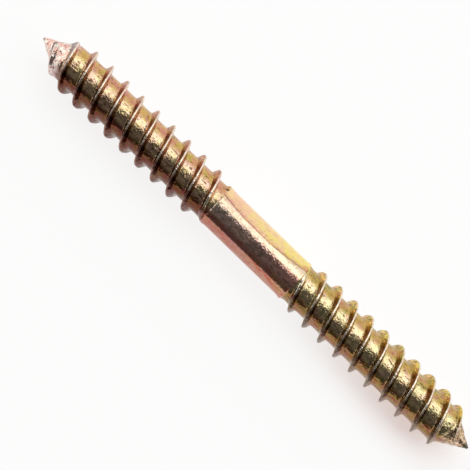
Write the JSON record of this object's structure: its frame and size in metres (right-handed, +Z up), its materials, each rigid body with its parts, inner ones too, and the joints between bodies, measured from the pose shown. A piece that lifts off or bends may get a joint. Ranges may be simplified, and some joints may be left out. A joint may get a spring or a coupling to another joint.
{
  "type": "double-ended wood screw",
  "caption": "Headless screw with a coarse wood thread and a point at both ends and a plain round shank between them, for joining two pieces of wood end to end out of sight.",
  "frame": {"origin": "under the middle of the shank, on the surface that the thread crests lie on", "axes": "+X along the screw towards its right-hand tip, +Z up"},
  "size_m": [0.08, 0.0078, 0.0078],
  "materials": {
    "yellow_zinc_steel": "rolled steel, zinc plated and yellow passivated, with pink and green tints"
  },
  "bodies": {
    "root": {"screw": "yellow_zinc_steel"}
  },
  "joints": []
}
